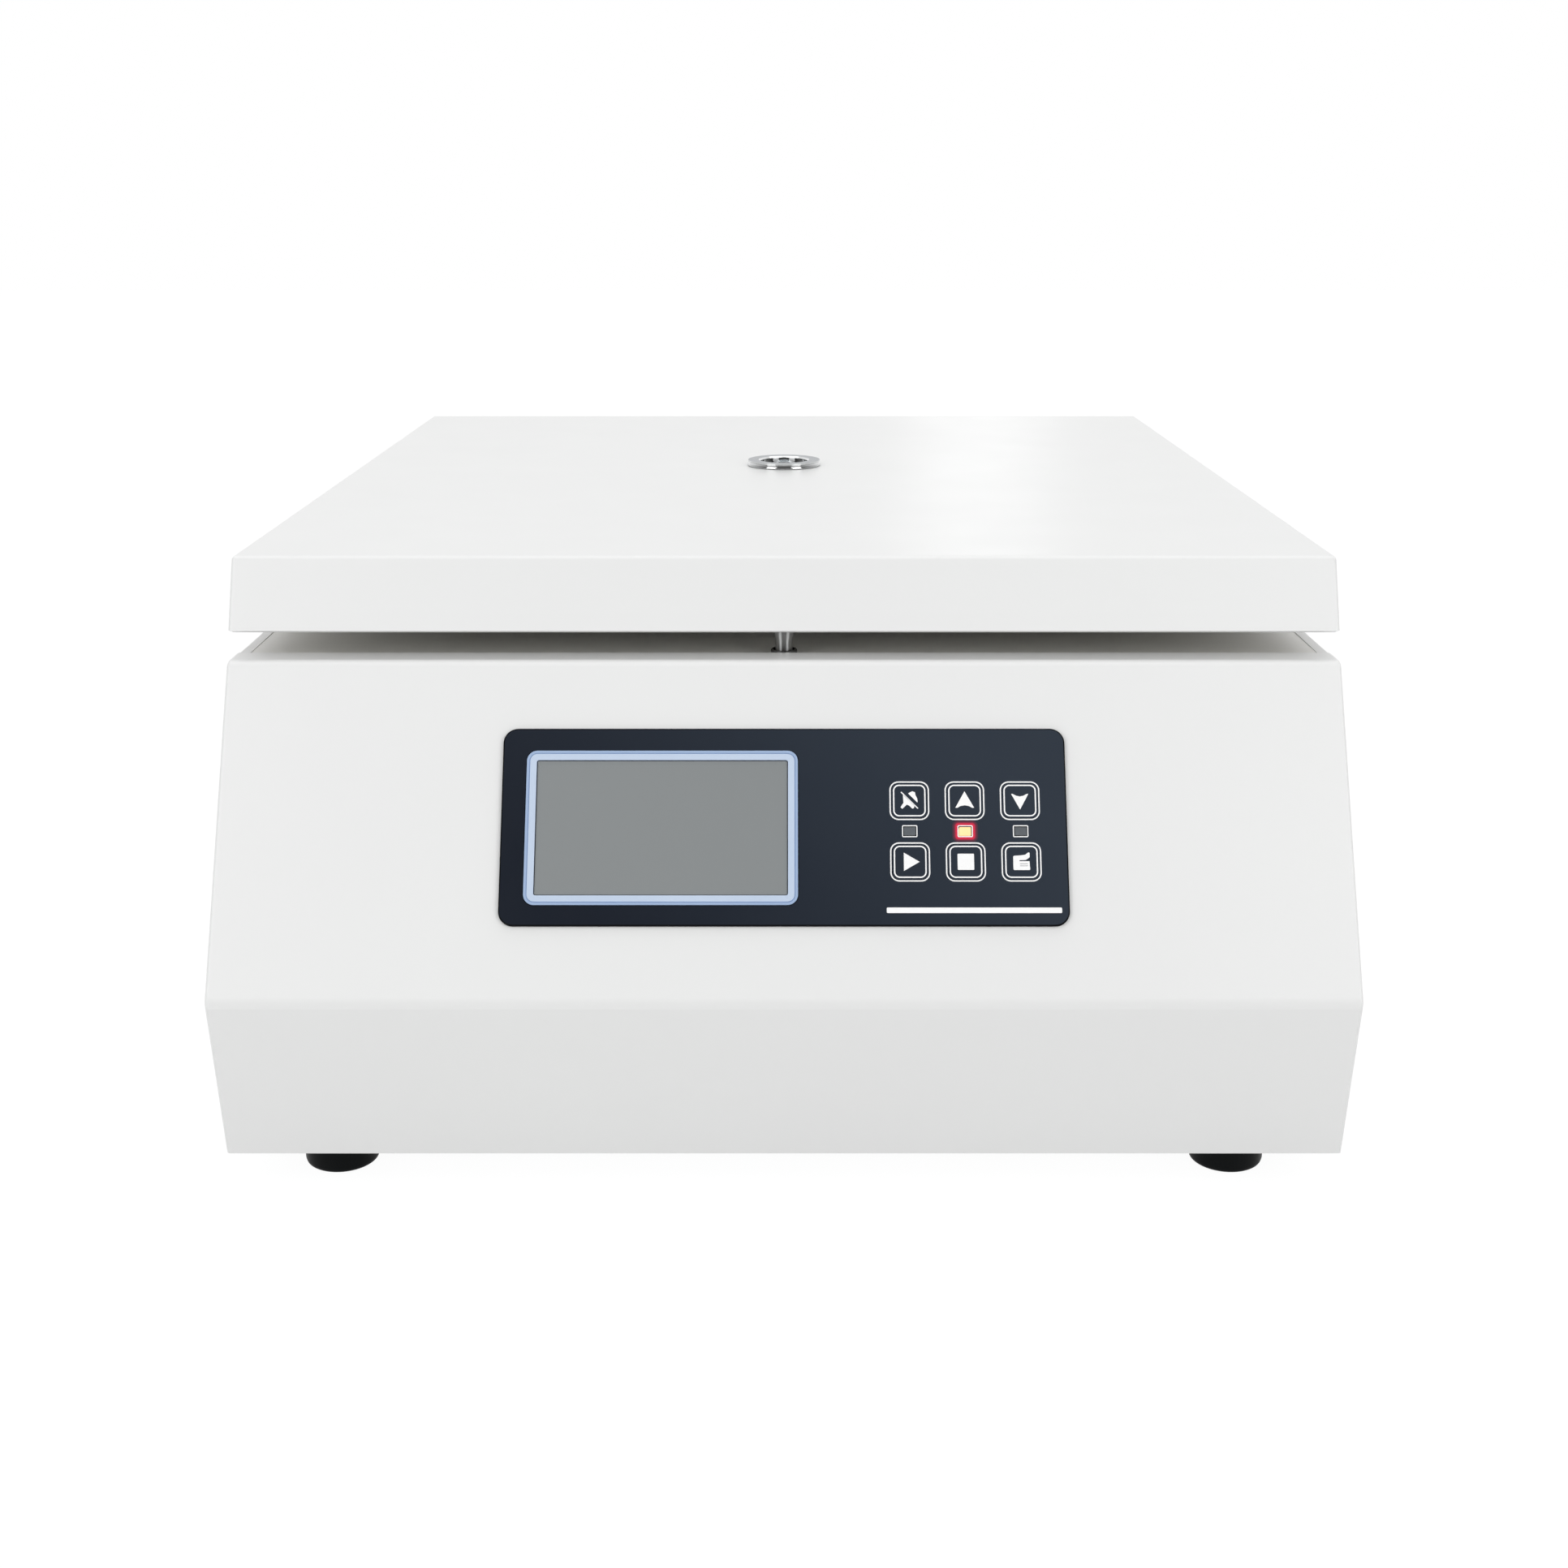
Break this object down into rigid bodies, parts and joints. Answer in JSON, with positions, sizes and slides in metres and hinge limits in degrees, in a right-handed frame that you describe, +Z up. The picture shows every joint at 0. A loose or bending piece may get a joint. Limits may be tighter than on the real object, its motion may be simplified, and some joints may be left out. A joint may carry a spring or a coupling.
{
  "type": "low-speed centrifuge",
  "caption": "Bench centrifuge with a sloped control front, a hinged box lid with a sight port, a round steel chamber and an angle rotor that holds tube sleeves.",
  "frame": {"origin": "centre of the footprint, at the level of the feet's soles", "axes": "+Z up, -Y towards the control front, +X to the right seen from the front, +Y towards the hinges"},
  "size_m": [0.43, 0.5679, 0.2382],
  "materials": {
    "white_paint": "satin powder coat",
    "grey_paint": "satin paint",
    "stainless": "fine brushed",
    "polished_steel": "polished",
    "zinc_steel": "zinc plated",
    "aluminium": "anodised, fine turned",
    "black_rubber": "matt",
    "dark_overlay": "satin film",
    "blue_frame": "satin",
    "screen": "smooth",
    "key_plastic": "satin film",
    "lamp_plastic": "smooth",
    "circuit": "solder mask",
    "black_plastic": "fine grain",
    "motor_black": "satin paint",
    "clear_glass": "polished"
  },
  "bodies": {
    "housing": {"housing_shell": "white_paint", "rear_panel": "white_paint", "base_plate": "zinc_steel", "deck_plate": "grey_paint", "foot_front_left": "black_rubber", "foot_rear_left": "black_rubber", "foot_front_right": "black_rubber", "foot_rear_right": "black_rubber", "chamber_bowl": "stainless", "chamber_seal": "black_rubber", "spindle_boot": "black_rubber", "motor_housing": "motor_black", "motor_plate": "zinc_steel", "motor_damper_1": "black_rubber", "motor_damper_2": "black_rubber", "motor_damper_3": "black_rubber", "lock_collar": "polished_steel", "lock_guide": "zinc_steel", "lock_solenoid": "black_plastic", "hinge_body_leaf_left": "zinc_steel", "hinge_pin_left": "zinc_steel", "hinge_body_leaf_right": "zinc_steel", "hinge_pin_right": "zinc_steel", "panel_overlay": "dark_overlay", "display_frame": "blue_frame", "display_screen": "screen", "lamp_left": "lamp_plastic", "lamp_middle": "lamp_plastic", "lamp_right": "lamp_plastic", "control_board": "circuit", "power_inlet": "black_plastic", "switch_frame": "black_plastic", "power_board": "circuit", "drive_board": "circuit"},
    "lid": {"lid_shell": "white_paint", "lid_liner": "grey_paint", "sight_port_ring": "polished_steel", "sight_port_window": "clear_glass", "striker_pin": "polished_steel", "hinge_lid_leaf_left": "zinc_steel", "hinge_lid_leaf_right": "zinc_steel"},
    "rotor": {"rotor_head": "aluminium", "tube_sleeve_1": "stainless", "tube_sleeve_2": "stainless", "tube_sleeve_3": "stainless", "tube_sleeve_4": "stainless", "tube_sleeve_5": "stainless", "tube_sleeve_6": "stainless", "drive_shaft": "zinc_steel", "rotor_nut": "polished_steel"},
    "lock_bolt": {"lock_bolt": "zinc_steel"},
    "key_mute": {"key_mute": "key_plastic"},
    "key_up": {"key_up": "key_plastic"},
    "key_down": {"key_down": "key_plastic"},
    "key_start": {"key_start": "key_plastic"},
    "key_stop": {"key_stop": "key_plastic"},
    "key_lid": {"key_lid": "key_plastic"},
    "switch_rocker": {"switch_rocker": "black_plastic"}
  },
  "joints": [
    {"name": "lid_hinge", "type": "hinge", "parent": "housing", "child": "lid", "pos_m": [0, 0.27965, 0.2031], "axis": [-1, 0, 0], "range_deg": [0, 78]},
    {"name": "rotor_spin", "type": "hinge", "parent": "housing", "child": "rotor", "pos_m": [0, 0.05734, 0.15], "axis": [0, 0, 1], "continuous": true},
    {"name": "lock_bolt_slide", "type": "slide", "parent": "housing", "child": "lock_bolt", "axis": [-1, 0, 0], "range_m": [0, 0.007], "stiffness_N_per_m": 200, "springref_m": -0.002},
    {"name": "key_mute_press", "type": "slide", "parent": "housing", "child": "key_mute", "axis": [0, 0.8643, -0.5029], "range_m": [0, 0.0005], "stiffness_N_per_m": 2000, "springref_m": -0.0002},
    {"name": "key_up_press", "type": "slide", "parent": "housing", "child": "key_up", "axis": [0, 0.8643, -0.5029], "range_m": [0, 0.0005], "stiffness_N_per_m": 2000, "springref_m": -0.0002},
    {"name": "key_down_press", "type": "slide", "parent": "housing", "child": "key_down", "axis": [0, 0.8643, -0.5029], "range_m": [0, 0.0005], "stiffness_N_per_m": 2000, "springref_m": -0.0002},
    {"name": "key_start_press", "type": "slide", "parent": "housing", "child": "key_start", "axis": [0, 0.8643, -0.5029], "range_m": [0, 0.0005], "stiffness_N_per_m": 2000, "springref_m": -0.0002},
    {"name": "key_stop_press", "type": "slide", "parent": "housing", "child": "key_stop", "axis": [0, 0.8643, -0.5029], "range_m": [0, 0.0005], "stiffness_N_per_m": 2000, "springref_m": -0.0002},
    {"name": "key_lid_press", "type": "slide", "parent": "housing", "child": "key_lid", "axis": [0, 0.8643, -0.5029], "range_m": [0, 0.0005], "stiffness_N_per_m": 2000, "springref_m": -0.0002},
    {"name": "switch_rocker_tilt", "type": "hinge", "parent": "housing", "child": "switch_rocker", "pos_m": [-0.1, 0.27615, 0.052], "axis": [-1, 0, 0], "range_deg": [0, 20]}
  ]
}
